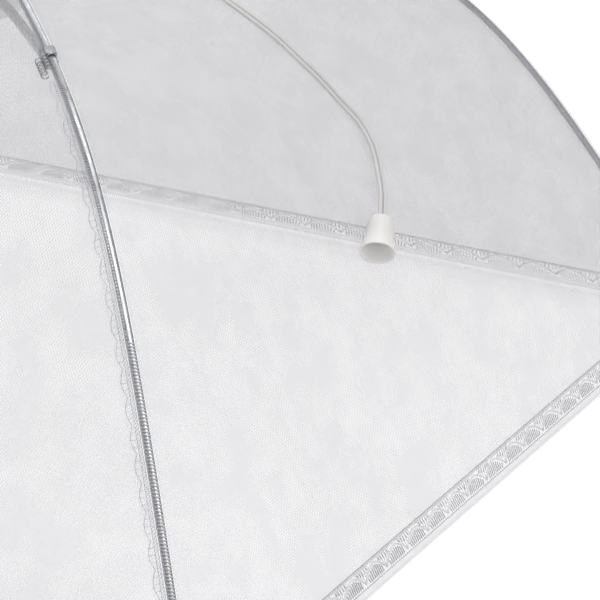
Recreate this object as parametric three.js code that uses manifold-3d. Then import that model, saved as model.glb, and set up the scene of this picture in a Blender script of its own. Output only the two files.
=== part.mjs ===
// Pop-up mesh food cover: a square net tent on four sprung ribs that folds like an umbrella.
// Millimetres, +Z up, origin on the table at the centre of the square base.
// Ribs run along the square's diagonals; net gores face +X, +Y, -X and -Y.
import * as THREE from "three";
import { mergeVertices } from "three/addons/utils/BufferGeometryUtils.js";
import Module from "manifold-3d";

const wasm = await Module();
wasm.setup();

// Driving dimensions
const SIDE = 430; // edge of the square base
const CORNER = SIDE * Math.SQRT1_2; // axis to corner, along a diagonal
const RIB_CURVE = new THREE.CubicBezierCurve(
  new THREE.Vector2(14, 205), // over the hub
  new THREE.Vector2(192, 183.5),
  new THREE.Vector2(200.5, 169),
  new THREE.Vector2(CORNER, 0.4), // at the table
);
const CHANNEL_WIDTH = 2.8; // pressed steel channel of ribs and stretchers
const CHANNEL_HEIGHT = 2.4;
const CHANNEL_WALL = 0.5;
const PIVOT_RADIUS = 14; // wire rings of hub and runner
const HUB_PIVOT_Z = 197;
const BRACKET = new THREE.Vector2(121, 183.8); // pivot of rib and stretcher
const RUNNER_PIVOT_Z = 2 * BRACKET.y - HUB_PIVOT_Z; // equal links, so the fold closes exactly
const WIRE_RADIUS = 0.7; // rings and rivets
const EYE_RADIUS = 2.5; // flattened ends of ribs and stretchers
const EYE_HOLE = 1.05;
const BLADE = 1.8; // thickness of a flattened end
const SLOT = 3.4; // width of the slots in hub and runner
const CROWN_RADIUS = 19; // hub and runner
const BLADE_END = 25; // radius where a flattened end becomes a channel
const CLOTH = 0.8; // thickness of the soft solids
const TRIM_HEIGHT = 11; // lace trim along the hem, measured up the net
const TRIM_CLEARANCE = 0.3;
const FOOT_RADIUS = 3.6; // plastic caps on the ribs' lower ends
const TAPE_HALF_WIDTH = 8; // lace tape over each rib
const CORD_RADIUS = 0.8;
const HUB_TOP = 204.8; // flat top of the hub, under the cap
const CLOTH_OFFSET = 0.5; // the net's inner face, outward from the rib's middle
const SEAM_GAP = 4; // edge of a gore to the rib's plane, along the gore
const FOOT_GAP = (FOOT_RADIUS + 0.5) * Math.SQRT2; // the same for the trim, beside a foot
const SAG = 5; // the net is drawn in between the ribs
const KNOT_TOP = 148.4; // top of the knot inside
const BELL_TOP = new THREE.Vector3(8.55, -172.26, 106.54);
const BELL_AXIS = new THREE.Vector3(-0.794, -0.302, -0.527).normalize(); // towards its mouth
const NET_OUTWARD = new THREE.Vector3(0, -0.8, 0.6); // outward under the pull cord
const STRAND_APART = 1.1; // each strand to the middle of the route

// Middle of the pull cord's two strands, from the cap's hole to the bell
const PULL_ROUTE = [
  [0, 0, 214.4],
  [0.6, -2.6, 215.4],
  [1.6, -7, 215.4],
  [3, -14, 213.9],
  [4.5, -22, 211],
  [6, -29, 208.4],
  [7.5, -37, 206.2],
  [9, -46, 204],
  [10.5, -57, 201],
  [12, -69, 197],
  [13.2, -81, 192.1],
  [14.2, -93, 186.1],
  [14.9, -104.3, 179.4],
  [16.9, -112.6, 173.9],
  [20.4, -122.6, 165.7],
  [23, -129.8, 158.4],
  [26.9, -137.1, 150.1],
  [28.9, -141.6, 144.3],
  [31, -145.2, 139.5],
  [33.9, -149.8, 133.2],
  [33.7, -155, 126],
  [30.4, -159.2, 120.5],
  [24.4, -163.6, 116.2],
  [18.4, -167.7, 112.4],
  [9.15, -172.2, 106.25],
];

const corners = { back: 45, left: 135, front: 225, right: 315 };
const sides = { back_right: 0, back_left: 90, front_left: 180, front_right: 270 };

const material = (color, roughness, metalness = 0) =>
  new THREE.MeshStandardMaterial({ color, roughness, metalness });
const steel = material(0x70757c, 0.35, 1);
const plastic = material(0xf3f1ec, 0.4);
const net = material(0xeeeeee, 0.9);
const lace = material(0xf8f8f8, 0.9);
const cord = material(0xf6f4f0, 0.8);

const cover = new THREE.Group();

// Adds a named mesh, turned about the cover's axis.
function add(name, geometry, look, degrees = 0) {
  const mesh = new THREE.Mesh(geometry, look);
  mesh.name = name;
  mesh.rotation.z = THREE.MathUtils.degToRad(degrees);
  cover.add(mesh);
}

// Solids and booleans

function bare(geometry) {
  const copy = geometry.clone();
  copy.deleteAttribute("normal");
  copy.deleteAttribute("uv");
  return mergeVertices(copy, 1e-4);
}

function solid(geometry) {
  const merged = bare(geometry);
  const mesh = new wasm.Mesh({
    numProp: 3,
    vertProperties: merged.attributes.position.array,
    triVerts: new Uint32Array(merged.index.array),
  });
  return new wasm.Manifold(mesh);
}

function geometryOf(manifold) {
  const mesh = manifold.getMesh();
  const geometry = new THREE.BufferGeometry();
  geometry.setAttribute("position", new THREE.BufferAttribute(mesh.vertProperties, 3));
  geometry.setIndex(new THREE.BufferAttribute(mesh.triVerts, 1));
  return geometry;
}

const cut = (body, ...tools) =>
  geometryOf(tools.reduce((left, tool) => left.subtract(solid(tool)), solid(body)));
const join = (...pieces) =>
  geometryOf(pieces.slice(1).reduce((whole, piece) => whole.add(solid(piece)), solid(pieces[0])));

// Joins rings of points into a closed solid; outline is the section that caps both ends.
function loft(rings, outline) {
  if (THREE.ShapeUtils.isClockWise(outline)) {
    return loft(rings.map((ring) => ring.toReversed()), outline.toReversed());
  }
  const count = outline.length;
  const faces = [];
  for (let i = 0; i + 1 < rings.length; i += 1) {
    for (let j = 0; j < count; j += 1) {
      const a = i * count + j;
      const b = i * count + ((j + 1) % count);
      faces.push(a, b, b + count, a, b + count, a + count);
    }
  }
  const last = (rings.length - 1) * count;
  for (const [a, b, c] of THREE.ShapeUtils.triangulateShape(outline, [])) {
    faces.push(a, c, b, last + a, last + b, last + c);
  }
  const geometry = new THREE.BufferGeometry().setFromPoints(rings.flat());
  geometry.setIndex(faces);
  return solid(geometry).volume() < 0 ? turnedOut(geometry, faces) : geometry;
}

function turnedOut(geometry, faces) {
  for (let i = 0; i < faces.length; i += 3) {
    [faces[i + 1], faces[i + 2]] = [faces[i + 2], faces[i + 1]];
  }
  return geometry.setIndex(faces);
}

// Curves in a rib's plane: x outward from the axis, y up

function frameAt(curve, t) {
  const point = curve.getPoint(t);
  const tangent = curve.getTangent(t);
  return { point, normal: new THREE.Vector2(-tangent.y, tangent.x) };
}

function steps(from, to, count) {
  return Array.from({ length: count + 1 }, (_, i) => from + ((to - from) * i) / count);
}

// The curve's parameter where it is a given distance from the axis.
function parameterAt(curve, radius) {
  let low = 0;
  let high = 1;
  const rising = curve.getPoint(1).x > curve.getPoint(0).x;
  for (let i = 0; i < 40; i += 1) {
    const middle = (low + high) / 2;
    if (curve.getPoint(middle).x < radius === rising) low = middle;
    else high = middle;
  }
  return low;
}

// Sweeps a section of [sideways, outward] points along a curve in the rib's plane.
function sweep(curve, parameters, outlineAt) {
  const rings = parameters.map((t) => {
    const { point, normal } = frameAt(curve, t);
    return outlineAt(t).map(
      ([side, out]) =>
        new THREE.Vector3(point.x + normal.x * out, side, point.y + normal.y * out),
    );
  });
  const outline = outlineAt(parameters[0]).map(([side, out]) => new THREE.Vector2(side, out));
  return loft(rings, outline);
}

// A channel section, open towards the inside of the cover.
function channelOutline() {
  const w = CHANNEL_WIDTH / 2;
  const h = CHANNEL_HEIGHT / 2;
  const t = CHANNEL_WALL;
  return [[-w, -h], [-w + t, -h], [-w + t, h - t], [w - t, h - t], [w - t, -h], [w, -h], [w, h], [-w, h]];
}

// A plate in the rib's plane, centred sideways, from its outline in that plane.
function plate(shape, thickness) {
  const geometry = new THREE.ExtrudeGeometry(shape, {
    depth: thickness,
    bevelEnabled: false,
    curveSegments: 6,
  });
  geometry.translate(0, 0, -thickness / 2);
  geometry.rotateX(Math.PI / 2);
  return geometry;
}

// A flattened end: an eye round the pivot and an arm that runs into the channel.
function flattenedEnd(pivot, joint) {
  const along = joint.clone().sub(pivot).normalize();
  const angle = Math.atan2(along.y, along.x);
  const half = CHANNEL_HEIGHT / 2 - 0.1;
  const across = new THREE.Vector2(-along.y, along.x).multiplyScalar(half);
  const shape = new THREE.Shape();
  shape.moveTo(joint.x - across.x, joint.y - across.y);
  shape.lineTo(joint.x + across.x, joint.y + across.y);
  shape.absarc(pivot.x, pivot.y, EYE_RADIUS, angle + Math.PI / 3, angle - Math.PI / 3, false);
  shape.closePath();
  const hole = new THREE.Path();
  hole.absarc(pivot.x, pivot.y, EYE_HOLE, 0, 2 * Math.PI, true);
  shape.holes.push(hole);
  return plate(shape, BLADE);
}

// A bar lying sideways across the rib's plane.
function crossBar(point, radius, length, segments = 12) {
  return new THREE.CylinderGeometry(radius, radius, length, segments).translate(point.x, 0, point.y);
}

// Ribs

const ribStart = parameterAt(RIB_CURVE, BLADE_END - 2);
const ribSteps = steps(ribStart, parameterAtHeight(3), 22);

function rib() {
  const pivot = new THREE.Vector2(PIVOT_RADIUS, HUB_PIVOT_Z);
  const overlap = frameAt(RIB_CURVE, parameterAt(RIB_CURVE, BLADE_END + 4));
  const end = overlap.point.clone().addScaledVector(overlap.normal, 0.1);
  return join(sweep(RIB_CURVE, ribSteps, channelOutline), flattenedEnd(pivot, end));
}

// The rib's last stretch, as a straight line down to the table.
function ribEnd() {
  return new THREE.LineCurve(RIB_CURVE.getPoint(parameterAtHeight(9)), RIB_CURVE.getPoint(1));
}

// A round cap on the rib's end, cut off flat where it stands on the table.
function foot() {
  const w = CHANNEL_WIDTH / 2 + 0.35;
  const h = CHANNEL_HEIGHT / 2 + 0.35;
  const socket = [[-w, -h], [w, -h], [w, h], [-w, h]];
  const body = [...Array(16).keys()].map((i) => {
    const angle = (i * Math.PI) / 8;
    return [FOOT_RADIUS * Math.cos(angle), FOOT_RADIUS * Math.sin(angle)];
  });
  const below = new THREE.BoxGeometry(40, 40, 10).translate(CORNER, 0, -5);
  const cap = sweep(ribEnd(), [0.05, 1.5], () => body);
  return cut(cap, sweep(ribEnd(), [-0.5, 0.74], () => socket), below);
}

// A saddle over the rib whose two ears hold the stretcher's pivot.
function bracket() {
  const length = 4.6;
  const inner = CHANNEL_WIDTH / 2 + 0.3;
  const outer = inner + 0.5;
  const top = CHANNEL_HEIGHT / 2 + 0.3;
  const ears = -6.4;
  const outline = [
    [-outer, ears], [-inner, ears], [-inner, top], [inner, top],
    [inner, ears], [outer, ears], [outer, top + 0.1], [outer - 0.5, top + 0.5],
    [-outer + 0.5, top + 0.5], [-outer, top + 0.1],
  ];
  const middle = parameterAt(RIB_CURVE, BRACKET.x + 0.9);
  const { point, normal } = frameAt(RIB_CURVE, middle);
  const half = new THREE.Vector2(normal.y, -normal.x).multiplyScalar(length / 2);
  const line = new THREE.LineCurve(point.clone().sub(half), point.clone().add(half));
  return cut(sweep(line, [0, 1], () => outline), crossBar(BRACKET, WIRE_RADIUS + 0.3, 8));
}

function rivet() {
  const shank = crossBar(BRACKET, WIRE_RADIUS, 5.6);
  const heads = [-2.95, 2.95].map((side) => crossBar(BRACKET, 1.4, 0.6).translate(0, side, 0));
  return join(shank, ...heads);
}

// Stretchers: a strut that rises from the runner and then runs level to the bracket

function stretcherCurve() {
  return new THREE.CubicBezierCurve(
    new THREE.Vector2(PIVOT_RADIUS, RUNNER_PIVOT_Z),
    new THREE.Vector2(28, 186),
    new THREE.Vector2(70, 185),
    BRACKET.clone(),
  );
}

function stretcher() {
  const curve = stretcherCurve();
  const inside = parameterAt(curve, BLADE_END);
  const outside = parameterAt(curve, BRACKET.x - 9);
  const channel = sweep(curve, steps(inside, outside, 12), channelOutline);
  const innerEnd = flattenedEnd(curve.getPoint(0), curve.getPoint(parameterAt(curve, BLADE_END + 4)));
  const outerEnd = flattenedEnd(curve.getPoint(1), curve.getPoint(parameterAt(curve, BRACKET.x - 13)));
  return join(channel, innerEnd, outerEnd);
}

// Hub and runner: notched discs, each with a wire ring that the eyes turn on

function ringWire(z) {
  return new THREE.TorusGeometry(PIVOT_RADIUS, WIRE_RADIUS, 8, 40).translate(0, 0, z);
}

function tube(inner, outer, bottom, top, segments = 40) {
  const profile = [[inner, bottom], [outer, bottom], [outer, top], [inner, top], [inner, bottom]];
  const points = profile.map(([r, z]) => new THREE.Vector2(r, z));
  return new THREE.LatheGeometry(points, segments).rotateX(Math.PI / 2);
}

function crown(bottom, top, bore, pivotZ) {
  const slots = Object.values(corners).map((degrees) => {
    const slot = new THREE.BoxGeometry(12, SLOT, top - bottom + 4);
    slot.translate(PIVOT_RADIUS - 3.7 + 6, 0, (top + bottom) / 2);
    return slot.rotateZ(THREE.MathUtils.degToRad(degrees));
  });
  const grooveTop = pivotZ + WIRE_RADIUS + 0.3;
  const groove = tube(PIVOT_RADIUS - 1, PIVOT_RADIUS + 1, bottom - 1, grooveTop);
  return cut(tube(bore, CROWN_RADIUS, bottom, top), groove, ...slots);
}

function cap() {
  const profile = [
    [2.6, 188.4], [5.2, 188.4], [5.2, HUB_TOP + 2], [20, HUB_TOP + 2], [20.4, 208.2],
    [18.4, 210.4], [12.5, 212.4], [6.5, 213.2], [3.4, 213.2], [2.6, 212.4], [2.6, 188.4],
  ].map(([r, z]) => new THREE.Vector2(r, z));
  return new THREE.LatheGeometry(profile, 36).rotateX(Math.PI / 2);
}

// A round reinforcing patch under the cap, sloping down outside it.
function apexPatch() {
  const profile = [
    [5.5, HUB_TOP + 0.8], [22, HUB_TOP + 0.8], [37, 203.8], [37, 203.8 + CLOTH],
    [22, HUB_TOP + 0.8 + CLOTH], [5.5, HUB_TOP + 0.8 + CLOTH], [5.5, HUB_TOP + 0.8],
  ].map(([r, z]) => new THREE.Vector2(r, z));
  return new THREE.LatheGeometry(profile, 32).rotateX(Math.PI / 2);
}

// Soft solids of the cover, in a frame whose x is the gore's outward direction

const GORE_TOP = parameterAt(RIB_CURVE, 32);

// A point of the net: t along the rib's curve, u from rib to rib, how far out, and the gap
// left between the net's edge and the rib's plane.
function netPoint(t, u, out, gap) {
  const { point, normal } = frameAt(RIB_CURVE, t);
  const distance = (point.x + normal.x * (CLOTH_OFFSET + out)) * Math.SQRT1_2;
  const height = point.y + normal.y * (CLOTH_OFFSET + out);
  const share = (t - GORE_TOP) / (1 - GORE_TOP);
  const sag = SAG * Math.sin(Math.PI * share) * (1 - u * u);
  return new THREE.Vector3(distance - sag, u * (distance - gap), Math.max(height, 0));
}

// A thin curved panel between two places on the rib's curve.
function panel(from, to, rows, columns, gap) {
  const across = steps(-1, 1, columns);
  const rings = steps(from, to, rows).map((t) => [
    ...across.map((u) => netPoint(t, u, CLOTH, gap)),
    ...across.toReversed().map((u) => netPoint(t, u, 0, gap)),
  ]);
  const outline = [
    ...across.map((u) => new THREE.Vector2(u, 1 - 0.1 * u * u)),
    ...across.toReversed().map((u) => new THREE.Vector2(u, -0.1 * u * u)),
  ];
  return loft(rings, outline);
}

// The curve's parameter at a height above the table.
function parameterAtHeight(height) {
  let low = 0;
  let high = 1;
  for (let i = 0; i < 40; i += 1) {
    const middle = (low + high) / 2;
    if (RIB_CURVE.getPoint(middle).y > height) low = middle;
    else high = middle;
  }
  return low;
}

// A tape folded over the rib: each half lies along its own gore.
function seamTape() {
  const from = parameterAt(RIB_CURVE, 40);
  const to = parameterAtHeight(TRIM_HEIGHT + 2.5);
  const base = CHANNEL_HEIGHT / 2 + 2.1;
  const outlineAt = (t) => {
    const { normal } = frameAt(RIB_CURVE, t);
    const side = TAPE_HALF_WIDTH * Math.SQRT1_2;
    const drop = side * normal.x;
    return [
      [-side, base - drop], [0, base], [side, base - drop],
      [side, base - drop + CLOTH], [0, base + CLOTH], [-side, base - drop + CLOTH],
    ];
  };
  return sweep(RIB_CURVE, steps(from, to, 20), outlineAt);
}

// Cords: a doubled pull cord over the front right gore, ending in a bell

function round(radius, sides) {
  const points = Array.from({ length: sides }, (_, i) => {
    const angle = (2 * Math.PI * i) / sides;
    return new THREE.Vector2(radius * Math.cos(angle), radius * Math.sin(angle));
  });
  return new THREE.Shape(points);
}

// The route of one strand, beside the middle of the pair.
function strandRoute(side) {
  const middle = new THREE.CatmullRomCurve3(PULL_ROUTE.map((p) => new THREE.Vector3(...p)));
  const points = steps(0, 1, PULL_ROUTE.length - 1).map((t) => {
    const across = middle.getTangent(t).cross(NET_OUTWARD).normalize();
    return middle.getPoint(t).addScaledVector(across, side * STRAND_APART);
  });
  return new THREE.CatmullRomCurve3(points);
}

function strand(side) {
  return new THREE.ExtrudeGeometry(round(CORD_RADIUS, 8), {
    steps: 62,
    extrudePath: strandRoute(side),
    bevelEnabled: false,
  });
}

// Turns a lathe about its own axis to lie along the bell's axis, top first.
function alongBell(profile, segments) {
  const points = profile.map(([radius, along]) => new THREE.Vector2(radius, along));
  const geometry = new THREE.LatheGeometry(points, segments);
  const turn = new THREE.Quaternion().setFromUnitVectors(new THREE.Vector3(0, 1, 0), BELL_AXIS);
  geometry.applyQuaternion(turn).translate(BELL_TOP.x, BELL_TOP.y, BELL_TOP.z);
  return solid(geometry).volume() < 0 ? turnedOut(bare(geometry), bare(geometry).index.array) : geometry;
}

function bell() {
  const profile = [
    [2.7, 0.3], [3.4, 0.3], [4.5, 1.2], [5.2, 3.4], [5.3, 7.4], [5.5, 10], [6.1, 12.9], [6.9, 15.4],
    [6.9, 16], [6.2, 16], [5.3, 13.3], [4.6, 10.6], [4.4, 5], [3.7, 3.4], [2.7, 3.2], [2.7, 0.3],
  ];
  return alongBell(profile, 24);
}

const bellKnot = () =>
  alongBell([[0, 3.7], [2.4, 4.2], [3.5, 6.4], [3.3, 8.8], [1.8, 10.4], [0, 10.8]], 12);

// The doubled cord inside, from the cap's hole down through the runner to its knot.
function innerCord() {
  const outline = [];
  for (const centre of [CORD_RADIUS, -CORD_RADIUS]) {
    const from = centre > 0 ? -Math.PI / 2 : Math.PI / 2;
    for (const angle of steps(from, from + Math.PI, 5)) {
      outline.push(
        new THREE.Vector2(centre + CORD_RADIUS * Math.cos(angle), CORD_RADIUS * Math.sin(angle)),
      );
    }
  }
  const bottom = KNOT_TOP + 0.3;
  const geometry = new THREE.ExtrudeGeometry(new THREE.Shape(outline), {
    depth: 212.6 - bottom,
    bevelEnabled: false,
  });
  return geometry.translate(0, 0, bottom);
}

function innerKnot() {
  const profile = [[0, -6.6], [2, -6], [3.3, -3.6], [3.1, -1.4], [1.6, 0], [0, 0]];
  const points = profile.map(([r, z]) => new THREE.Vector2(r, KNOT_TOP + z));
  return new THREE.LatheGeometry(points, 12).rotateX(Math.PI / 2);
}

// Assembly

add("hub_body", crown(191, HUB_TOP, 5.6, HUB_PIVOT_Z), plastic);
add("hub_ring", ringWire(HUB_PIVOT_Z), steel);
add("hub_cap", cap(), plastic);
add("hub_washer", tube(5.5, 9.2, 189.6, 190.6, 24), steel);
add("apex_patch", apexPatch(), lace);

const trimTop = parameterAtHeight(TRIM_HEIGHT);
const goreEnd = parameterAtHeight(TRIM_HEIGHT + TRIM_CLEARANCE);
for (const [side, degrees] of Object.entries(sides)) {
  add(`gore_${side}`, panel(GORE_TOP, goreEnd, 16, 4, SEAM_GAP), net, degrees);
  add(`hem_lace_${side}`, panel(trimTop, 1, 2, 4, FOOT_GAP), lace, degrees);
}
for (const [corner, degrees] of Object.entries(corners)) {
  add(`rib_${corner}`, rib(), steel, degrees);
  add(`rib_foot_${corner}`, foot(), plastic, degrees);
  add(`rib_bracket_${corner}`, bracket(), steel, degrees);
  add(`rib_rivet_${corner}`, rivet(), steel, degrees);
  add(`seam_tape_${corner}`, seamTape(), lace, degrees);
  add(`stretcher_${corner}`, stretcher(), steel, degrees);
}

add("runner", crown(164.5, 176, 2.3, RUNNER_PIVOT_Z), plastic);
add("runner_ring", ringWire(RUNNER_PIVOT_Z), steel);
add("inner_cord", innerCord(), cord);
add("inner_knot", innerKnot(), cord);
add("pull_strand_1", strand(1), cord);
add("pull_strand_2", strand(-1), cord);
add("pull_bell", bell(), plastic);
add("bell_knot", bellKnot(), cord);

export default cover;
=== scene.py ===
"""Looks of a folding net food cover: net, lace, steel ribs, plastic hub, cords and bell.

+Z is up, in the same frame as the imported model. Shapes are worked out in millimetres and
stored in metres. Camera and lights are placed in metres. Corners are named for their ribs.
"""
import math

import bpy
from mathutils import Matrix, Vector

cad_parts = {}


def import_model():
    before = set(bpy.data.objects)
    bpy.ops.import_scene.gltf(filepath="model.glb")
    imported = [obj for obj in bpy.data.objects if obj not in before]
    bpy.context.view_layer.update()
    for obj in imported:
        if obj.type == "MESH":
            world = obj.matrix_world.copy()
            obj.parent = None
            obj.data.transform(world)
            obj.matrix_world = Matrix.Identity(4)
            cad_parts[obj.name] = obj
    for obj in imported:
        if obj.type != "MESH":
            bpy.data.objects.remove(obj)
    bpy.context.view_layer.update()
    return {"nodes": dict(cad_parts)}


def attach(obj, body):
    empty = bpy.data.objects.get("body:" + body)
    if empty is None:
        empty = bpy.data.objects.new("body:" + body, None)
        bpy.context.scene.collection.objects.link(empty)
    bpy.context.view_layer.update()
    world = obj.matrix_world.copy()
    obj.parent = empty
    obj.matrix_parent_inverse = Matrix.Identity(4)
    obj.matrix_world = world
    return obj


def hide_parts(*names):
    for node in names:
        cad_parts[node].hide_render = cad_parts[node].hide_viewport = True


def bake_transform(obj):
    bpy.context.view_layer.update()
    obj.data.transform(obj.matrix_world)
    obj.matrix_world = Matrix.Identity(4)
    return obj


MM = 0.001

# Camera: the point it stands at, where it looks and its lens
CAMERA_AT = (-1.406, -0.875, 0.737)
CAMERA_AZIMUTH = -62.07
CAMERA_ELEVATION = 22.26
CAMERA_LENS = 273.5
CAMERA_SHIFT = (0.0505, -0.0705)
SENSOR_WIDTH = 36
CLIP_END = 20

# Light: each softbox's azimuth, elevation, distance, size and watts
WORLD_COLOR = (0.985, 0.98, 1.0)
WORLD_STRENGTH = 0.62
LIT_POINT = Vector((0, 0, 0.08))
SOFTBOXES = {
    "key": (-110, 50, 1.7, (0.8, 0.6), 7.5),
    "top": (60, 76, 1.2, (0.5, 0.5), 3),
    "strip": (-22, 50, 1.8, (0.6, 1.5), 13),
    "rim": (115, 40, 1.9, (1.3, 0.6), 6),
}
FLOOR_REACH = 9000.0
FLOOR_LEVEL = -0.3
FLOOR_COLOR = (0.94, 0.94, 0.94)

# Colours: a single one, or the light and the dark tone of a material
CORD_TONES = ((0.6, 0.595, 0.585), (0.52, 0.516, 0.51))
WHITE_TONES = ((0.62, 0.61, 0.59), (0.57, 0.565, 0.55))
BELL_TONES = ((0.86, 0.855, 0.845), (0.82, 0.815, 0.805))
STEEL_TONES = ((0.38, 0.385, 0.4), (0.29, 0.295, 0.31))
LACE_TONES = ((0.78, 0.78, 0.79), (0.72, 0.72, 0.73))
# Painted shade: the grey of the threads that stand in for the shade in the hem lace's openings
LACE_PAINTED_SHADE_TONES = ((0.45, 0.45, 0.455), (0.39, 0.39, 0.395))
# Painted shade: the seam lace's thread, greyer than the hem's lace thread
SEAM_PAINTED_SHADE_TONES = ((0.6, 0.6, 0.63), (0.52, 0.52, 0.55))
NET_COLOR = (0.415, 0.415, 0.424)
GROUND_COLOR = (0.62, 0.62, 0.63)
SLEEVE_COLOR = (0.6, 0.6, 0.62)
TRANSLUCENT_SHARE = 0.44  # of the light on a net's thread, that goes through it
WEAVE_LEAN = 0.62  # sideways lean of the net's threads for each step down it
THREAD_SOLID = 0.35  # of a thread's half width, where it is still at its fullest
THREAD_GONE = 1.15  # of that half width, where it has faded out

# The cover's shape, as in the model: a rib's curve in its own plane
SIDE = 430.0
CORNER = SIDE * math.sqrt(0.5)
RIB_POINTS = ((14.0, 205.0), (192.0, 183.5), (200.5, 169.0), (CORNER, 0.4))
HUB_PIVOT = (14.0, 197.0)
BRACKET = (121.0, 183.8)
NET_OFFSET = 0.9  # the net, outward from the rib's middle
NET_TOP_RADIUS = 30.0
NET_SAG = 5.0
NET_LOWEST = 0.1
SAG_TOP_RADIUS = 32.0  # the sag starts here, going down
SEAM_GAP = 2.8  # a net's edge to its rib's plane, along the panel
NET_ROWS = 64
NET_COLUMNS = 28
TRIM_HEIGHT = 10.8
CORNERS = {"back": 45, "left": 135, "front": 225, "right": 315}
# Each side with its two ribs: the one at its lower azimuth, then the one at its higher
SIDES = {
    "back_right": (0, "right", "back"),
    "back_left": (90, "back", "left"),
    "front_left": (180, "left", "front"),
    "front_right": (270, "front", "right"),
}

# The rib's steel: a channel that is open inward, and an eye on an arm at its top
CHANNEL_WIDTH = 2.8
CHANNEL_HEIGHT = 2.4
CHANNEL_WALL = 0.5
CHANNEL_HOLLOW_TOP = 0.1  # outward from the rib's middle
CROWN_RISE = 0.5  # of the channel's rounded back
CROWN_STEPS = 12
STEEL_TOP_RADIUS = 23
STEEL_BOTTOM_HEIGHT = 3
STEEL_ROWS = 120
EYE_HOLE_RADIUS = 1.05
EYE_RADIUS = 2.5
EYE_HALF_THICK = 0.9
EYE_SEGMENTS = 32
ARM_HALF_WIDTH = 1.1
ARM_START = 2.2  # from the pivot
ARM_END_RADIUS = 27

# The wire tie's coils: place beside the rib, radius, turns, start and end past the bracket
TIE_COILS = (
    (-5.0, 1.25, 5, 4, 14),
    (-2.6, 1.0, 4, 3, 10),
    (0, 1.9, 2, 2, 4),
)
TIE_WIRE_RADIUS = 0.24
TIE_TURN_POINTS = 12

# Pull cord: the middle of its two strands, from the cap's hole to the bell
PULL_ROUTE = (
    (0, 0, 214.4), (0.6, -2.6, 215.4), (1.6, -7, 215.4), (3, -14, 213.9), (4.5, -22, 211),
    (6, -29, 208.4), (7.5, -37, 206.2), (9, -46, 204), (10.5, -57, 201), (12, -69, 197),
    (13.2, -81, 192.1), (14.2, -93, 186.1), (14.9, -104.3, 179.4), (16.9, -112.6, 173.9),
    (20.4, -122.6, 165.7), (23, -129.8, 158.4), (26.9, -137.1, 150.1), (28.9, -141.6, 144.3),
    (31, -145.2, 139.5), (33.9, -149.8, 133.2), (33.7, -155, 126), (30.4, -159.2, 120.5),
    (24.4, -163.6, 116.2), (18.4, -167.7, 112.4), (9.15, -172.2, 106.25),
)
STRAND_POINTS = 40
STRAND_OFFSET = 1.1  # from the middle of the route
CORD_RADIUS = 0.8
NET_OUTWARD = Vector((0, -0.8, 0.6))
BELL_TOP = Vector((8.55, -172.26, 106.54))
BELL_AXIS = Vector((-0.794, -0.302, -0.527)).normalized()
BELL_PROFILE = (
    (2.3, 0.5), (2.5, 0.15), (3.0, 0.1), (3.6, 0.35), (4.3, 0.9), (4.85, 1.8), (5.15, 3.0),
    (5.25, 4.6), (5.3, 6.3), (5.38, 7.9), (5.52, 9.7), (5.8, 11.5), (6.2, 13.3), (6.6, 14.5),
    (6.88, 15.3), (6.95, 15.7), (6.8, 16), (6.5, 16), (6.2, 15.6), (5.8, 14.3), (5.2, 12.6),
    (4.8, 10.9), (4.6, 9), (4.5, 6), (4.2, 4.2), (3.4, 3.4), (2.5, 3.2), (2.3, 2.8), (2.3, 0.5),
)
BELL_SEGMENTS = 56
INNER_CORD_TOP = 212.6
INNER_CORD_BOTTOM = 148.7
INNER_CORD_STEPS = 24

# Hem lace, by height above the table
LEVELS_PER_MM = 4
LEVELS = 60
BAND_TOP = 2.7
BAND_THICK = 0.3
BAND_BEVEL = 0.25
BAND_STEP = 4.0
SCALLOP_PITCH = 17.0
ARCH_REACH = SCALLOP_PITCH / 2
ARCH_FOOT = 4.4
ARCH_RISE = 4.3
ARCH_ROUNDNESS = 1.7
ARCH_STEPS = 16
BAR_PITCH = 1.5
BAR_LEAN = 0.8
BAR_TOP = 9.8
EDGE_PITCH = 1.1
EDGE_HEIGHT = 9.9
EDGE_WAVE = 0.3
# Fill threads, valley slashes and fine lines: grey threads of painted shade, in the lace's openings
# and along its edges
FILL_PITCH = 1.35
FILL_FOOT = 3.8
FILL_LOWEST_TOP = 4.3
FILL_BELOW_ARCH = 0.9
VALLEY_PITCH = 1.8
VALLEY_FOOT = 7.0
VALLEY_TOP = 9.0
LINE_PITCH = 2.2
FINE_LINES = ((3.1, 0.16), (10.4, 0.13))  # height and radius
GROUND_BOTTOM = 2.5
GROUND_ROWS = 6

# Sleeve and lace along a rib, by sideways place, negative toward the lower azimuth
TAPE_OVER_RIB = 1.62  # outward from the rib's middle
TAPE_ON_NET = 1.35
TAPE_HALF_FLAT = 1.6
TAPE_SETTLED = 3.2
SLEEVE_PLACES = (-5.5, -5, -3.2, -2.4, -1.6, -0.8, 0, 0.8, 1.6, 2.4, 3)
SLEEVE_ROWS = 110
SLEEVE_LENGTH = 340
SEAM_LACE_START = 138.0  # distance from the axis
STITCH_PITCH = 1.25
SEAM_LINES = ((-2.2, 0.13), (-3.1, 0.1))  # place and radius
SCALLOP_FOOT = -3.8
SCALLOP_DEPTH = 1.2
SCALLOP_STITCHES = 8
WHIP_TOP_HEIGHT = 118
WHIP_LEAN = 0.7

# Top patch
PATCH_PROFILE = (
    (5.6, 206.2), (20.5, 206.2), (24, 205.9), (28, 205.3), (32, 204.7), (36.8, 204.1),
)
PATCH_SEGMENTS = 72
BINDING_RINGS = ((36.6, 204.3, 0.55), (34.6, 204.7, 0.3))  # radius, height and thread radius
BINDING_SEGMENTS = 90


# Small helpers


def material(name, color, roughness, **sockets):
    """A new material with one Principled shader; returns it with its nodes, links and shader."""
    made = bpy.data.materials.new(name)
    made.use_nodes = True
    nodes, links = made.node_tree.nodes, made.node_tree.links
    shader = nodes["Principled BSDF"]
    shader.inputs["Base Color"].default_value = (*color, 1)
    shader.inputs["Roughness"].default_value = roughness
    for socket, value in sockets.items():
        shader.inputs[socket].default_value = value
    return made, nodes, links, shader


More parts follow.
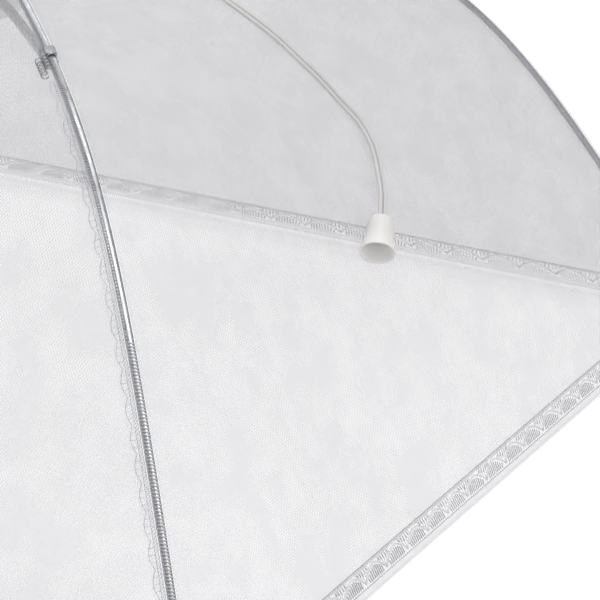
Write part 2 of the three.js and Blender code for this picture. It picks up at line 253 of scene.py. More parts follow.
def math_node(nodes, links, operation, first, second, clamp=False):
    """A Math node whose inputs are sockets or numbers; returns its output."""
    node = nodes.new("ShaderNodeMath")
    node.operation = operation
    node.use_clamp = clamp
    for index, value in enumerate((first, second)):
        if isinstance(value, bpy.types.NodeSocket):
            links.new(value, node.inputs[index])
        else:
            node.inputs[index].default_value = value
    return node.outputs[0]


def ramp_node(nodes, links, value, low, high, to_low, to_high):
    """Maps a socket smoothly from one range to another."""
    node = nodes.new("ShaderNodeMapRange")
    node.interpolation_type = "SMOOTHSTEP"
    links.new(value, node.inputs["Value"])
    node.inputs["From Min"].default_value = low
    node.inputs["From Max"].default_value = high
    node.inputs["To Min"].default_value = to_low
    node.inputs["To Max"].default_value = to_high
    return node.outputs["Result"]


def mix_color(nodes, links, factor, first, second):
    """Mixes two plain colours by a socket."""
    node = nodes.new("ShaderNodeMix")
    node.data_type = "RGBA"
    links.new(factor, node.inputs["Factor"])
    node.inputs["A"].default_value = (*first, 1)
    node.inputs["B"].default_value = (*second, 1)
    return node.outputs["Result"]


def mix_shaders(nodes, links, factor, first, second):
    """Mixes two shaders by a number or a socket."""
    node = nodes.new("ShaderNodeMixShader")
    if isinstance(factor, bpy.types.NodeSocket):
        links.new(factor, node.inputs["Fac"])
    else:
        node.inputs["Fac"].default_value = factor
    links.new(first, node.inputs[1])
    links.new(second, node.inputs[2])
    return node.outputs["Shader"]


def noise(nodes, links, scale, detail=2.0):
    """A noise texture in object space, in cycles per metre."""
    place = nodes.new("ShaderNodeTexCoord")
    texture = nodes.new("ShaderNodeTexNoise")
    texture.inputs["Scale"].default_value = scale
    texture.inputs["Detail"].default_value = detail
    links.new(place.outputs["Object"], texture.inputs["Vector"])
    return texture.outputs["Fac"]


def bump(nodes, links, shader, height, strength, distance):
    """Feeds a height into the shader's normal."""
    node = nodes.new("ShaderNodeBump")
    node.inputs["Strength"].default_value = strength
    node.inputs["Distance"].default_value = distance
    links.new(height, node.inputs["Height"])
    links.new(node.outputs["Normal"], shader.inputs["Normal"])


def mesh_object(name, points, faces, looks, weave=None):
    """A mesh object from points in millimetres; weave gives each point's place in the cloth."""
    mesh = bpy.data.meshes.new(name)
    mesh.from_pydata([Vector(p) * MM for p in points], [], faces)
    if weave is not None:
        layer = mesh.uv_layers.new(name="weave")
        for loop in mesh.loops:
            layer.data[loop.index].uv = weave[loop.vertex_index]
    mesh.polygons.foreach_set("use_smooth", [True] * len(mesh.polygons))
    mesh.update()
    made = bpy.data.objects.new(name, mesh)
    bpy.context.scene.collection.objects.link(made)
    made.data.materials.append(looks)
    return made


def sharpen(piece, degrees):
    """Smooth shading that keeps edges sharper than an angle."""
    mesh = piece.data
    mesh.polygons.foreach_set("use_smooth", [True] * len(mesh.polygons))
    mesh.set_sharp_from_angle(angle=math.radians(degrees))


def grid_faces(rows, columns):
    """Quads of a grid of rows by columns of points, row by row."""
    return [
        (r * columns + c, r * columns + c + 1, (r + 1) * columns + c + 1, (r + 1) * columns + c)
        for r in range(rows - 1)
        for c in range(columns - 1)
    ]


def ring_faces(rows, count, closed=False):
    """Quads between rows of points that are rings; closed also joins the last to the first."""
    faces = []
    for r in range(rows if closed else rows - 1):
        n = (r + 1) % rows
        for k in range(count):
            m = (k + 1) % count
            faces.append((r * count + k, r * count + m, n * count + m, n * count + k))
    return faces


def circle(radius, height, count):
    """Points evenly spaced round the Z axis."""
    points = []
    for k in range(count):
        angle = 2 * math.pi * k / count
        points.append(Vector((radius * math.cos(angle), radius * math.sin(angle), height)))
    return points


class Builder:
    """Collects points and faces of one mesh."""

    def __init__(self):
        self.points = []
        self.faces = []

    def add(self, points, faces):
        start = len(self.points)
        self.points.extend(points)
        self.faces.extend(tuple(start + i for i in face) for face in faces)

    def tube(self, path, radius, sides=6, closed=False, flat=1.0, up=None):
        """A thread along a path of Vectors; flat squeezes it along up."""
        count = len(path)
        lift = up or Vector((0.3, 0.2, 1))
        rings = []
        for i, point in enumerate(path):
            before = path[i - 1] if i or closed else path[0]
            after = path[(i + 1) % count] if i + 1 < count or closed else path[-1]
            ahead = (after - before).normalized()
            side = ahead.cross(lift).normalized()
            over = side.cross(ahead).normalized()
            for k in range(sides):
                angle = 2 * math.pi * k / sides
                offset = side * math.cos(angle) + over * (math.sin(angle) * flat)
                rings.append(point + offset * radius)
        faces = ring_faces(count, sides, closed)
        if not closed:
            faces.append(tuple(reversed(range(sides))))
            faces.append(tuple((count - 1) * sides + k for k in range(sides)))
        self.add(rings, faces)

    def lathe(self, profile, segments, turn=Matrix.Identity(3), origin=Vector((0, 0, 0))):
        """Turns (radius, height) points about Z, then places them."""
        points = []
        for radius, height in profile:
            points.extend(turn @ local + origin for local in circle(radius, height, segments))
        self.add(points, ring_faces(len(profile), segments))

    def build(self, name, looks):
        return mesh_object(name, self.points, self.faces, looks)


# The cover's geometry, in millimetres


def bezier(points, t):
    """A point and a unit tangent of a cubic Bezier in the plane."""
    a, b, c, d = (Vector(p) for p in points)
    s = 1 - t
    point = a * s**3 + b * (3 * s * s * t) + c * (3 * s * t * t) + d * t**3
    tangent = (b - a) * (s * s) + (c - b) * (2 * s * t) + (d - c) * (t * t)
    return point, tangent.normalized()


def search(test):
    """The largest curve parameter for which the test still holds."""
    low, high = 0.0, 1.0
    for _ in range(40):
        middle = (low + high) / 2
        if test(bezier(RIB_POINTS, middle)[0]):
            low = middle
        else:
            high = middle
    return low


def at_radius(radius):
    return search(lambda p: p.x < radius)


def at_height(height):
    return search(lambda p: p.y > height)


def rib_frame(t):
    """A point of the rib's curve and its outward normal, both in the rib's plane."""
    point, tangent = bezier(RIB_POINTS, t)
    return point, Vector((-tangent.y, tangent.x))


def in_rib_plane(degrees, radial, side, height):
    """A point given by its distance from the axis, sideways place and height at a rib."""
    angle = math.radians(degrees)
    return Vector((
        radial * math.cos(angle) - side * math.sin(angle),
        radial * math.sin(angle) + side * math.cos(angle),
        height,
    ))


def by_rib(degrees, t, side, out):
    """A point beside the rib: sideways and outward from its curve."""
    point, normal = rib_frame(t)
    return in_rib_plane(degrees, point.x + normal.x * out, side, point.y + normal.y * out)


def rib_outward(degrees, t):
    normal = rib_frame(t)[1]
    return in_rib_plane(degrees, normal.x, 0, normal.y)


SAG_START = at_radius(SAG_TOP_RADIUS)


def net_point(degrees, t, u, out=NET_OFFSET):
    """A point of a net panel: t down the rib's curve, u from its first rib to its second."""
    point, normal = rib_frame(t)
    distance = (point.x + normal.x * out) * math.sqrt(0.5)
    height = max(point.y + normal.y * out, NET_LOWEST)
    share = max((t - SAG_START) / (1 - SAG_START), 0)
    sag = NET_SAG * math.sin(math.pi * share) * (1 - u * u)
    return in_rib_plane(degrees, distance - sag, u * (distance - SEAM_GAP), height)


def between(a, b, c, d, t):
    """A point of the smooth curve from b to c, after a and before d."""
    slope = (c - a) * t
    square = (a * 2 - b * 5 + c * 4 - d) * t**2
    cube = (b * 3 - a - c * 3 + d) * t**3
    return (b * 2 + slope + square + cube) / 2


def smoothed(points, count):
    """Points spaced evenly along a smooth curve through the given ones."""
    fine = []
    last = len(points) - 1
    for i in range(last):
        a, b = points[max(i - 1, 0)], points[i]
        c, d = points[i + 1], points[min(i + 2, last)]
        fine.extend(between(a, b, c, d, k / 8) for k in range(8))
    fine.append(points[-1])
    lengths = [0.0]
    for a, b in zip(fine, fine[1:]):
        lengths.append(lengths[-1] + (b - a).length)
    result, j = [], 0
    for i in range(count):
        wanted = lengths[-1] * i / (count - 1)
        while j < len(fine) - 2 and lengths[j + 1] < wanted:
            j += 1
        share = (wanted - lengths[j]) / (lengths[j + 1] - lengths[j])
        result.append(fine[j].lerp(fine[j + 1], min(share, 1)))
    return result


# Camera, light and floor


def direction(azimuth, elevation):
    """The way to an azimuth, counted from the front, and an elevation, in degrees."""
    a, e = math.radians(azimuth), math.radians(elevation)
    return Vector((math.sin(a) * math.cos(e), -math.cos(a) * math.cos(e), math.sin(e)))


def place_looking(name, data, place, back):
    """Adds a camera or light at a place, with its back toward a direction."""
    made = bpy.data.objects.new(name, data)
    made.location = place
    made.rotation_euler = (-back).to_track_quat("-Z", "Y").to_euler()
    bpy.context.scene.collection.objects.link(made)
    return made


def add_camera():
    data = bpy.data.cameras.new("camera")
    data.lens = CAMERA_LENS
    data.sensor_width = SENSOR_WIDTH
    data.shift_x, data.shift_y = CAMERA_SHIFT
    data.clip_end = CLIP_END
    back = direction(CAMERA_AZIMUTH, CAMERA_ELEVATION)
    bpy.context.scene.camera = place_looking("camera", data, CAMERA_AT, back)


def add_softbox(name, azimuth, elevation, distance, size, watts):
    """An area light that looks at the cover from a direction."""
    data = bpy.data.lights.new(name, "AREA")
    data.shape = "RECTANGLE"
    data.size, data.size_y = size
    data.energy = watts
    back = direction(azimuth, elevation)
    place_looking(name, data, back * distance + LIT_POINT, back)


def add_studio():
    world = bpy.data.worlds.new("studio")
    world.use_nodes = True
    background = world.node_tree.nodes["Background"]
    background.inputs["Color"].default_value = (*WORLD_COLOR, 1)
    background.inputs["Strength"].default_value = WORLD_STRENGTH
    bpy.context.scene.world = world
    bpy.context.scene.view_settings.view_transform = "Standard"
    for name, settings in SOFTBOXES.items():
        add_softbox(name, *settings)
    floor, _, _, shader = material("floor", FLOOR_COLOR, 0.6)
    shader.inputs["Specular IOR Level"].default_value = 0.2
    corners = [
        (x * FLOOR_REACH, y * FLOOR_REACH, FLOOR_LEVEL)
        for x, y in ((-1, -1), (1, -1), (1, 1), (-1, 1))
    ]
    plane = mesh_object("floor", corners, [(0, 1, 2, 3)], floor)


# Materials


def weave_pattern(nodes, links, cell, thread):
    """0 in the holes and 1 on the threads of a diamond net laid along the weave map."""
    place = nodes.new("ShaderNodeUVMap")
    place.uv_map = "weave"
    split = nodes.new("ShaderNodeSeparateXYZ")
    links.new(place.outputs["UV"], split.inputs[0])
    across, along = split.outputs["X"], split.outputs["Y"]
    leaned = math_node(nodes, links, "MULTIPLY", along, WEAVE_LEAN)
    families = []
    for operation in ("ADD", "SUBTRACT"):
        line = math_node(nodes, links, operation, across, leaned)
        line = math_node(nodes, links, "DIVIDE", line, cell)
        families.append(math_node(nodes, links, "PINGPONG", line, 0.5))
    nearest = math_node(nodes, links, "MINIMUM", families[0], families[1])
    return ramp_node(nodes, links, nearest, thread * THREAD_SOLID, thread * THREAD_GONE, 1, 0)


def net_material(name, color, open_alpha, thread_alpha, cell, thread):
    """Fine knitted net: its holes let most of what is behind show, its threads little."""
    made, nodes, links, shader = material(name, color, 0.55)
    shader.inputs["Sheen Weight"].default_value = 0.15
    shader.inputs["Sheen Roughness"].default_value = 0.5
    threads = weave_pattern(nodes, links, cell, thread)
    patchy = noise(nodes, links, 60.0)
    varied = ramp_node(nodes, links, patchy, 0.3, 0.7, 0.93, 1.07)
    alpha = ramp_node(nodes, links, threads, 0, 1, open_alpha, thread_alpha)
    cover = math_node(nodes, links, "MULTIPLY", alpha, varied, clamp=True)
    bump(nodes, links, shader, threads, strength=0.4, distance=0.0002)
    glow = nodes.new("ShaderNodeBsdfTranslucent")
    glow.inputs["Color"].default_value = (*color, 1)
    lit, through = shader.outputs["BSDF"], glow.outputs["BSDF"]
    cloth = mix_shaders(nodes, links, TRANSLUCENT_SHARE, lit, through)
    holes = nodes.new("ShaderNodeBsdfTransparent")
    whole = mix_shaders(nodes, links, cover, holes.outputs["BSDF"], cloth)
    links.new(whole, nodes["Material Output"].inputs["Surface"])
    return made


def let_through(made, shader, color, share, open_share=0.0):
    """Lets a share of the light glow through a thin material, and leaves a share of it open."""
    if not share:
        return
    nodes, links = made.node_tree.nodes, made.node_tree.links
    glow = nodes.new("ShaderNodeBsdfTranslucent")
    glow.inputs["Color"].default_value = (*color, 1)
    whole = mix_shaders(nodes, links, share, shader.outputs["BSDF"], glow.outputs["BSDF"])
    if open_share:
        holes = nodes.new("ShaderNodeBsdfTransparent")
        whole = mix_shaders(nodes, links, open_share, whole, holes.outputs["BSDF"])
    links.new(whole, nodes["Material Output"].inputs["Surface"])


def thread_material(name, color, shade, through, open_share=0.0):
    """Twisted thread: soft sheen, fine ridges and slight change of tone, and partly see-through."""
    made, nodes, links, shader = material(name, color, 0.65)
    shader.inputs["Sheen Weight"].default_value = 0.25
    shader.inputs["Sheen Roughness"].default_value = 0.45
    tone = noise(nodes, links, 160.0, 3)
    links.new(mix_color(nodes, links, tone, color, shade), shader.inputs["Base Color"])
    ridges = noise(nodes, links, 1800.0, 3)
    bump(nodes, links, shader, ridges, strength=0.35, distance=0.0003)
    let_through(made, shader, color, through, open_share)
    return made


def steel_material(name, light, dark, roughness):
    """Rolled steel strip: satin metal with fine grain and faint dull patches."""
    made, nodes, links, shader = material(name, light, roughness, Metallic=1.0)
    patches = noise(nodes, links, 45.0, 4)
    links.new(mix_color(nodes, links, patches, light, dark), shader.inputs["Base Color"])
    dullness = noise(nodes, links, 220.0, 4)
    rough = ramp_node(nodes, links, dullness, 0.3, 0.7, roughness * 0.75, roughness * 1.35)
    links.new(rough, shader.inputs["Roughness"])
    grain = noise(nodes, links, 1500.0, 2)
    bump(nodes, links, shader, grain, strength=0.12, distance=0.0001)
    return made


def plastic_material(name, color, shade, roughness, through=0.0):
    """Moulded plastic: nearly even colour and a soft, slightly uneven gloss."""
    made, nodes, links, shader = material(name, color, roughness)
    shader.inputs["Coat Weight"].default_value = 0.15
    shader.inputs["Coat Roughness"].default_value = 0.25
    tone = noise(nodes, links, 35.0, 3)
    links.new(mix_color(nodes, links, tone, color, shade), shader.inputs["Base Color"])
    dullness = noise(nodes, links, 130.0, 3)
    rough = ramp_node(nodes, links, dullness, 0.3, 0.7, roughness * 0.85, roughness * 1.2)
    links.new(rough, shader.inputs["Roughness"])
    grain = noise(nodes, links, 500.0, 2)
    bump(nodes, links, shader, grain, strength=0.08, distance=0.0002)
    let_through(made, shader, color, through)
    return made


def make_looks():
    """All materials of the cover, by name."""
    return {
        "cord": thread_material("cord", *CORD_TONES, through=0.15),
        "white": plastic_material("white_plastic", *WHITE_TONES, roughness=0.36),
        "bell": plastic_material("bell_plastic", *BELL_TONES, roughness=0.4, through=0.5),
        "steel": steel_material("steel", *STEEL_TONES, roughness=0.27),
        "lace": thread_material("lace_thread", *LACE_TONES, through=0.5, open_share=0.35),
        # The hem lace's painted shade: grey threads for the shade in its openings
        "shade": thread_material("lace_painted_shade", *LACE_PAINTED_SHADE_TONES, through=0.55, open_share=0.4),
        # The seam lace's thread: a darker grey copy of the lace thread, painted shade
        "seam": thread_material("seam_thread_painted_shade", *SEAM_PAINTED_SHADE_TONES, through=0.5, open_share=0.4),
        "net": net_material("net", NET_COLOR, 0.42, 0.475, cell=1.25, thread=0.17),
        "ground": net_material("lace_ground", GROUND_COLOR, 0.15, 0.4, cell=1.6, thread=0.22),
        "sleeve": net_material("sleeve", SLEEVE_COLOR, 0.02, 0.16, cell=1.1, thread=0.12),
    }


# Cords and the bell


def strand_path(side):
    """The line of one strand of the pull cord."""
    middle = smoothed([Vector(p) for p in PULL_ROUTE], STRAND_POINTS)
    path = []
    for i, point in enumerate(middle):
        ahead = middle[min(i + 1, len(middle) - 1)] - middle[max(i - 1, 0)]
        across = ahead.cross(NET_OUTWARD).normalized()
        path.append(point + across * (side * STRAND_OFFSET))
    return path


def curve_object(name, path, radius, looks):
    """An open curve of that radius through points in millimetres."""
    curve = bpy.data.curves.new(name, "CURVE")
    curve.dimensions = "3D"
    curve.bevel_depth = radius * MM
    curve.bevel_resolution = 4
    curve.use_fill_caps = True
    spline = curve.splines.new("POLY")
    spline.points.add(len(path) - 1)
    for point, place in zip(spline.points, path):
        point.co = (*(place * MM), 1)
    curve.materials.append(looks)
    made = bpy.data.objects.new(name, curve)
    bpy.context.scene.collection.objects.link(made)
    return made


def add_bell(looks):
    """A small bell-shaped pull with a rounded shoulder, flared rim and open mouth."""
    builder = Builder()
    turn = Vector((0, 0, 1)).rotation_difference(BELL_AXIS).to_matrix()
    builder.lathe(BELL_PROFILE, BELL_SEGMENTS, turn, BELL_TOP)
    bell = builder.build("bell", looks)
    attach(bell, "pull")
    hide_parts("pull_bell")
    return bell


def add_pull(cord_looks, bell_looks):
    """The doubled pull cord that lies over the net, with its bell."""
    bell = add_bell(bell_looks)
    for number, side in ((1, 1), (2, -1)):
        strand = curve_object(f"pull_cord_{number}", strand_path(side), CORD_RADIUS, cord_looks)
        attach(strand, "pull")
        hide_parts(f"pull_strand_{number}")


def add_inner_cord(looks):
    """The two strands inside, from the cap down through the runner to their knot."""
    drop = (INNER_CORD_TOP - INNER_CORD_BOTTOM) / INNER_CORD_STEPS
    heights = [INNER_CORD_TOP - drop * i for i in range(INNER_CORD_STEPS + 1)]
    for number, x in ((1, CORD_RADIUS), (2, -CORD_RADIUS)):
        path = [Vector((x, 0, height)) for height in heights]
        builder = Builder()
        builder.tube(path, CORD_RADIUS, 10, up=Vector((0, 1, 0)))
        strand = builder.build(f"inner_cord_{number}", looks)
        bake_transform(strand)
        if number == 1:
            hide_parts("inner_cord")


# Net and the lace on its hem


def half_of(side, half):
    """A side's azimuth, the rib along this half's edge and the sign of its sideways places."""
    degrees, first, second = SIDES[side]
    return (degrees, first, -1) if half == "a" else (degrees, second, 1)


def in_panel(degrees, point):
    """How far sideways a point lies in its panel."""
    angle = math.radians(degrees)
    return -point.x * math.sin(angle) + point.y * math.cos(angle)


def hang_between(piece, share):
    """Lays a piece's mesh out flat along each point's share, bakes its transform, and then puts it
    back in shape.

    share gives each point's place, 0 at the rib and 1 at the middle.
    """
    mesh = piece.data
    shape = [vertex.co.copy() for vertex in mesh.vertices]
    for vertex, place in zip(mesh.vertices, share):
        vertex.co = (place, 0, 0)
    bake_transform(piece)
    for vertex, place in zip(mesh.vertices, shape):
        vertex.co = place
    mesh.update()


def net_half(side, half, looks):
    """Half of a net panel, from one rib to the panel's middle."""
    degrees, rib, sign = half_of(side, half)
    top, end = at_radius(NET_TOP_RADIUS), at_height(TRIM_HEIGHT - 1.5)
    points, weave, share = [], [], []
    length = 0.0
    previous = None
    for r in range(NET_ROWS):
        t = top + (end - top) * r / (NET_ROWS - 1)
        middle = net_point(degrees, t, 0)
        length += (middle - previous).length if previous else 0
        previous = middle
        for c in range(NET_COLUMNS):
            inward = c / (NET_COLUMNS - 1)
            point = net_point(degrees, t, sign * (1 - inward))
            points.append(point)
            weave.append((in_panel(degrees, point), length))
            share.append(inward)
    faces = grid_faces(NET_ROWS, NET_COLUMNS)
    if sign > 0:
        faces = [tuple(reversed(f)) for f in faces]
    piece = mesh_object(f"net_{side}_{half}", points, faces, looks, weave)
    # A choice of looks, not a fact about net: without shadows, net behind net stays darker
    # than single net. Real net would shade a little.
    piece.visible_shadow = False
    hang_between(piece, share)
    return piece


class HemLace:
    """Strips and threads along half of a side's hem, placed by s from its middle and h up it."""

    def __init__(self, side, half):
        self.degrees, self.rib, self.sign = half_of(side, half)
        self.end = SIDE / 2 - SEAM_GAP
        self.levels = [at_height(level / LEVELS_PER_MM) for level in range(LEVELS)]
        self.builder = Builder()
        self.share = []

    def place(self, s, h, out):
        index = min(max(h * LEVELS_PER_MM, 0), len(self.levels) - 1.001)
        low = int(index)
        t = self.levels[low] + (self.levels[low + 1] - self.levels[low]) * (index - low)
        return net_point(self.degrees, t, self.sign * min(s / self.end, 1), NET_OFFSET + out)

    def note(self, spots):
        """Notes each new point's share of the way from the rib to the middle."""
        self.share.extend(max(0.0, 1 - s / self.end) for s in spots)

    def band(self, low, high, out, thick):
        """A plain strip along the hem, slightly crowned."""
        count = int(self.end / BAND_STEP) + 1
        edges = ((low, 0), (low + BAND_BEVEL, thick), (high - BAND_BEVEL, thick), (high, 0))
        spots = [self.end * i / (count - 1) for i in range(count)]
        points = [self.place(s, h, out + lift) for s in spots for h, lift in edges]
        self.builder.add(points, grid_faces(count, len(edges)))
        self.note([s for s in spots for _ in edges])

    def thread(self, line, radius, out, sides=4):
        """A thread through (s, h) places on the hem."""
        line = [(s, h) for s, h in line if 0 <= s <= self.end]
        if len(line) < 2:
            return
        up = self.place(*line[0], 2) - self.place(*line[0], 0)
        self.builder.tube([self.place(s, h, out) for s, h in line], radius, sides, up=up, flat=0.6)
        self.note([s for s, _ in line for _ in range(sides)])

    def build(self, name, looks):
        piece = self.builder.build(name, looks)
        hang_between(piece, self.share)
        return piece


def arch_height(x):
    """Height of an arch of the hem lace; x runs from -1 to 1 between its feet."""
    return ARCH_FOOT + ARCH_RISE * (1 - abs(x) ** ARCH_ROUNDNESS)


def arch_middles():
    return [SCALLOP_PITCH * (i + 0.5) for i in range(int(SIDE / 2 / SCALLOP_PITCH) + 1)]


def hem_lace(side, half, looks):
    """The light threads of the hem lace: a plain band, arches, slanted bars above the arches'
    feet and a wavy top line."""
    lace = HemLace(side, half)
    lace.band(0.0, BAND_TOP, 0.05, BAND_THICK)
    for middle in arch_middles():
        places = [2 * k / ARCH_STEPS - 1 for k in range(ARCH_STEPS + 1)]
        arch = [(middle + x * ARCH_REACH, arch_height(x)) for x in places]
        lace.thread(arch, 0.5, 0.35, 6)
        for k in range(-3, 4):
            s = middle - ARCH_REACH + k * BAR_PITCH
            foot = arch_height(1 - abs(k * BAR_PITCH) / ARCH_REACH)
            lace.thread([(s, foot), (s + BAR_LEAN, BAR_TOP)], 0.2, 0.2)
    steps = int(SIDE / 2 / EDGE_PITCH)
    edge = [
        (lace.end * i / steps, EDGE_HEIGHT + EDGE_WAVE * math.cos(math.pi * i))
        for i in range(steps + 1)
    ]
    lace.thread(edge, 0.24, 0.3, 5)
    return lace.build(f"hem_{side}_{half}", looks)


def hem_painted_shade(side, half, looks):
    """Painted shade of the hem lace: grey threads that stand in for the shade in its openings under
    and between the arches, and two fine dark lines.
    """
    lace = HemLace(side, half)
    for middle in arch_middles():
        for k in range(-4, 5):
            s = middle + k * FILL_PITCH
            top = arch_height(k * FILL_PITCH / ARCH_REACH + 0.08) - FILL_BELOW_ARCH
            lace.thread([(s - 0.4, FILL_FOOT), (s + 0.4, max(top, FILL_LOWEST_TOP))], 0.34, 0.16)
        for k in range(-2, 3):
            s = middle - ARCH_REACH + k * VALLEY_PITCH
            foot = VALLEY_FOOT + 0.5 * abs(k)
            lace.thread([(s + 0.1, foot), (s + 0.9, VALLEY_TOP)], 0.3, 0.16)
    steps = int(SIDE / 2 / LINE_PITCH)
    for height, radius in FINE_LINES:
        line = [(lace.end * i / steps, height) for i in range(steps + 1)]
        lace.thread(line, radius, 0.2)
    return lace.build(f"hem_painted_shade_{side}_{half}", looks)


def lace_ground(side, half, looks):
    """The fine net that the hem's lace is worked on."""
    degrees, rib, sign = half_of(side, half)
    low, high = at_height(GROUND_BOTTOM), at_height(TRIM_HEIGHT)
    points, weave, share = [], [], []
    for r in range(GROUND_ROWS):
        t = low + (high - low) * r / (GROUND_ROWS - 1)
        for c in range(NET_COLUMNS):
            inward = c / (NET_COLUMNS - 1)
            point = net_point(degrees, t, sign * (1 - inward), NET_OFFSET + 0.12)
            points.append(point)
            weave.append((in_panel(degrees, point), point.z))
            share.append(inward)
    faces = grid_faces(GROUND_ROWS, NET_COLUMNS)
    if sign < 0:
        faces = [tuple(reversed(f)) for f in faces]
    piece = mesh_object(f"hem_ground_{side}_{half}", points, faces, looks, weave)
    hang_between(piece, share)
    return piece


def add_side(side, looks):
    """One net panel with its hem, in two halves, one along each of its ribs."""
    for half in ("a", "b"):
        net = net_half(side, half, looks["net"])
        lace = hem_lace(side, half, looks["lace"])
        # The hem lace's painted shade: grey threads in its openings and two fine dark lines
        shade = hem_painted_shade(side, half, looks["shade"])
        ground = lace_ground(side, half, looks["ground"])
        if half == "a":
            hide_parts(f"gore_{side}")
            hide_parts(f"hem_lace_{side}")


# Sleeve and lace along a rib


def tape_out(side, normal_x):
    """How far outward the sleeve lies at a sideways place: over the rib, then on the net."""
    edge = abs(side)
    if edge <= TAPE_HALF_FLAT:
        return TAPE_OVER_RIB
    if edge >= TAPE_SETTLED:
        return TAPE_ON_NET - edge * normal_x
    settled = TAPE_ON_NET - TAPE_SETTLED * normal_x
    share = (edge - TAPE_HALF_FLAT) / (TAPE_SETTLED - TAPE_HALF_FLAT)
    return TAPE_OVER_RIB + (settled - TAPE_OVER_RIB) * share


def on_sleeve(degrees, t, side, lift=0.0):
    """A point on a rib's sleeve, or lifted above it."""
    return by_rib(degrees, t, side, tape_out(side, rib_frame(t)[1].x) + lift)


def seam_sleeve(corner, looks):
    """The narrow net sleeve that holds a rib against the net."""
    degrees = CORNERS[corner]
    start, end = at_radius(NET_TOP_RADIUS - 2), at_height(TRIM_HEIGHT)
    points, weave = [], []
    for r in range(SLEEVE_ROWS):
        t = start + (end - start) * r / (SLEEVE_ROWS - 1)
        for side in SLEEVE_PLACES:
            points.append(on_sleeve(degrees, t, side))
            weave.append((side, r * SLEEVE_LENGTH / SLEEVE_ROWS))
    faces = grid_faces(SLEEVE_ROWS, len(SLEEVE_PLACES))
    piece = mesh_object(f"sleeve_{corner}", points, faces, looks, weave)
    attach(piece, f"rib_{corner}")


def rib_steps(start, end, pitch):
    """Curve parameters a given distance apart along the rib."""
    nudge = 1e-4
    steps = [start]
    t = start
    while True:
        here = bezier(RIB_POINTS, t)[0]
        speed = (bezier(RIB_POINTS, min(t + nudge, 1))[0] - here).length / nudge
        t += pitch / speed
        if t >= end:
            return steps
        steps.append(t)


def seam_lace(corner, looks):
    """Lace beside the lower part of a rib: two lines, a scalloped edge, threads and stitches. Its
    thread is greyer than the hem's lace thread: painted shade on real lace.
    """
    degrees = CORNERS[corner]
    builder = Builder()
    fine = rib_steps(at_radius(SEAM_LACE_START), at_height(TRIM_HEIGHT + 0.5), STITCH_PITCH)

    def thread(line, radius, lift):
        path = [on_sleeve(degrees, t, side, lift) for t, side in line]
        builder.tube(path, radius, 4, up=rib_outward(degrees, line[0][0]), flat=0.6)

    for side, radius in SEAM_LINES:
        thread([(t, side) for t in fine[::2]], radius, 0.1)
    scallop = []
    for i, t in enumerate(fine):
        dip = SCALLOP_DEPTH * abs(math.sin(math.pi * i / SCALLOP_STITCHES))
        scallop.append((t, SCALLOP_FOOT - dip))
    thread(scallop, 0.13, 0.12)
    near, far = SEAM_LINES[0][0], SEAM_LINES[1][0]
    for i, (t, following) in enumerate(zip(fine, fine[1:])):
        if i % SCALLOP_STITCHES in (2, 4, 6):
            thread([(t, far), (t, scallop[i][1])], 0.08, 0.1)
        thread([(t, near), (following, far)], 0.09, 0.1)
    for t, following in zip(fine, fine[1:]):
        thread([(t, -1.9), (t + (following - t) * 0.45, -0.9)], 0.2, 0.15)
    piece = builder.build(f"seam_lace_{corner}", looks)
    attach(piece, f"rib_{corner}")
    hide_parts(f"seam_tape_{corner}")


def whip_stitches(corner, looks):
    """Slanted stitches across the outer face of the rib's lower part."""
    degrees = CORNERS[corner]
    builder = Builder()
    turns = rib_steps(at_height(WHIP_TOP_HEIGHT), at_height(TRIM_HEIGHT + 1), STITCH_PITCH)
    for t, following in zip(turns, turns[1:]):
        lean = (following - t) * WHIP_LEAN
        line = [(-1.1, t), (-0.3, t + lean * 0.4), (0.5, t + lean * 0.7), (1.3, t + lean)]
        path = [on_sleeve(degrees, at, side, 0.2) for side, at in line]
        builder.tube(path, 0.19, 4, up=rib_outward(degrees, t), flat=0.7)
    piece = builder.build(f"whip_{corner}", looks)
    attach(piece, f"rib_{corner}")


# Ribs


def channel_section():
    """The rib's cross-section, as (sideways, outward) points."""
    w, h = CHANNEL_WIDTH / 2, CHANNEL_HEIGHT / 2
    crown = []
    for k in range(CROWN_STEPS + 1):
        angle = math.pi * k / CROWN_STEPS
        crown.append((w * math.cos(angle), h - CROWN_RISE + CROWN_RISE * math.sin(angle)))
    inner = w - CHANNEL_WALL
    top = CHANNEL_HOLLOW_TOP
    return [(w, -h), *crown, (-w, -h), (-inner, -h), (-inner, top), (inner, top), (inner, -h)]


def rib_steel(corner, looks):
    """The sprung rib: a pressed channel with a slightly rounded back, and an eye on an arm."""
    degrees = CORNERS[corner]
    builder = Builder()
    section = channel_section()
    count = len(section)
    start, end = at_radius(STEEL_TOP_RADIUS), at_height(STEEL_BOTTOM_HEIGHT)
    points = []
    for r in range(STEEL_ROWS):
        t = start + (end - start) * r / (STEEL_ROWS - 1)
        points.extend(by_rib(degrees, t, side, out) for side, out in section)
    faces = ring_faces(STEEL_ROWS, count)
    faces.append(tuple(range(count)))
    faces.append(tuple((STEEL_ROWS - 1) * count + k for k in reversed(range(count))))
    builder.add(points, faces)
    add_eye(builder, degrees, HUB_PIVOT, rib_frame(at_radius(ARM_END_RADIUS))[0])
    piece = builder.build(f"rib_steel_{corner}", looks)
    sharpen(piece, 50)
    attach(piece, f"rib_{corner}")
    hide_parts(f"rib_{corner}")


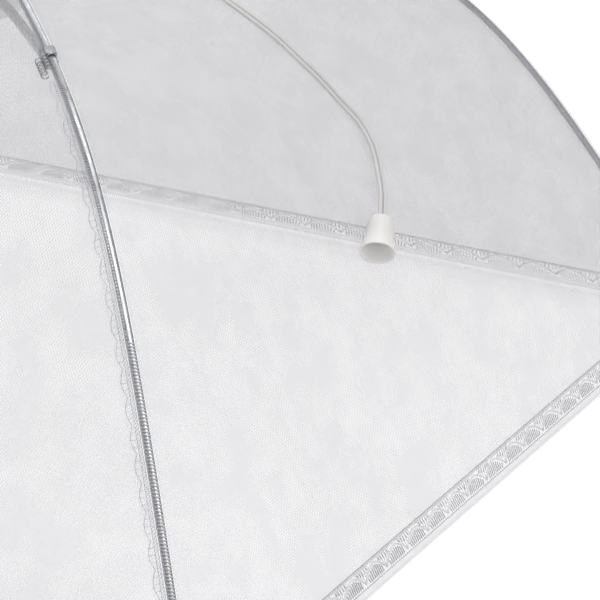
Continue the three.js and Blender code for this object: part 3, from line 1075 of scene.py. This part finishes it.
def add_eye(builder, degrees, pivot, joint):
    """A flat ring round a pivot with an arm to a joint."""
    along = Vector((joint[0] - pivot[0], joint[1] - pivot[1]))
    angle = math.atan2(along.y, along.x)
    across = Vector((-math.sin(angle), math.cos(angle))) * ARM_HALF_WIDTH
    inner, outer, thick = EYE_HOLE_RADIUS, EYE_RADIUS, EYE_HALF_THICK
    ring = []
    for k in range(EYE_SEGMENTS):
        a = 2 * math.pi * k / EYE_SEGMENTS
        for radius, side in ((inner, -thick), (outer, -thick), (outer, thick), (inner, thick)):
            radial = pivot[0] + radius * math.cos(a)
            height = pivot[1] + radius * math.sin(a)
            ring.append(in_rib_plane(degrees, radial, side, height))
    builder.add(ring, ring_faces(EYE_SEGMENTS, 4, closed=True))
    near = Vector(pivot) + along.normalized() * ARM_START
    corners = (near - across, near + across, Vector(joint) + across, Vector(joint) - across)
    box = [in_rib_plane(degrees, p.x, side, p.y) for side in (-thick, thick) for p in corners]
    ends = [(0, 1, 2, 3), (7, 6, 5, 4)]
    walls = [(0, 4, 5, 1), (1, 5, 6, 2), (2, 6, 7, 3), (3, 7, 4, 0)]
    builder.add(box, ends + walls)


def wire_tie(corner, looks):
    """Two small coils of thin wire beside the rib, outward of its bracket, and turns round it."""
    degrees = CORNERS[corner]
    builder = Builder()
    for side, radius, turns, first, last in TIE_COILS:
        start, end = at_radius(BRACKET[0] + first), at_radius(BRACKET[0] + last)
        count = turns * TIE_TURN_POINTS
        coil = []
        for i in range(count + 1):
            t = start + (end - start) * i / count
            a = 2 * math.pi * i / TIE_TURN_POINTS
            lift = max(tape_out(side, rib_frame(t)[1].x), 0.2) if side else 0.1
            across, out = side + radius * math.cos(a), lift + radius * math.sin(a)
            coil.append(by_rib(degrees, t, across, out))
        builder.tube(coil, TIE_WIRE_RADIUS, 6, up=rib_outward(degrees, start))
    piece = builder.build(f"tie_{corner}", looks)
    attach(piece, f"rib_{corner}")


# Top


def add_top_patch(looks, lace_looks):
    """The round patch under the cap, with a bound and stitched edge."""
    builder = Builder()
    builder.lathe(PATCH_PROFILE, PATCH_SEGMENTS)
    patch = builder.build("top_patch", looks)
    layer = patch.data.uv_layers.new(name="weave")
    for loop in patch.data.loops:
        place = patch.data.vertices[loop.vertex_index].co / MM
        layer.data[loop.index].uv = (place.x, place.y)
    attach(patch, "hub")
    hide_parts("apex_patch")
    binding = Builder()
    for radius, height, thread_radius in BINDING_RINGS:
        ring = circle(radius, height, BINDING_SEGMENTS)
        binding.tube(ring, thread_radius, 6, closed=True, flat=0.7)
    piece = binding.build("top_binding", lace_looks)
    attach(piece, "hub")


def paint_nodes(nodes, looks):
    """Gives the carried-over model parts their materials, with smooth round faces."""
    for name, node in nodes.items():
        for prefix, look in looks:
            if name.startswith(prefix):
                node.data.materials.clear()
                node.data.materials.append(look)
                sharpen(node, 35)
                break


def main():
    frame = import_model()
    looks = make_looks()
    add_camera()
    add_pull(looks["cord"], looks["bell"])
    add_inner_cord(looks["cord"])
    add_studio()
    for side in SIDES:
        add_side(side, looks)
    for corner in CORNERS:
        rib_steel(corner, looks["steel"])
        seam_sleeve(corner, looks["sleeve"])
        seam_lace(corner, looks["seam"])
        whip_stitches(corner, looks["lace"])
        wire_tie(corner, looks["steel"])
    add_top_patch(looks["ground"], looks["lace"])
    white, steel, cord = looks["white"], looks["steel"], looks["cord"]
    paint_nodes(frame["nodes"], (
        ("hub_body", white), ("hub_cap", white), ("hub_ring", steel), ("hub_washer", steel),
        ("rib_foot", white), ("rib_bracket", steel), ("rib_rivet", steel), ("stretcher", steel),
        ("runner_ring", steel), ("runner", white), ("bell_knot", cord), ("inner_knot", cord),
    ))


main()
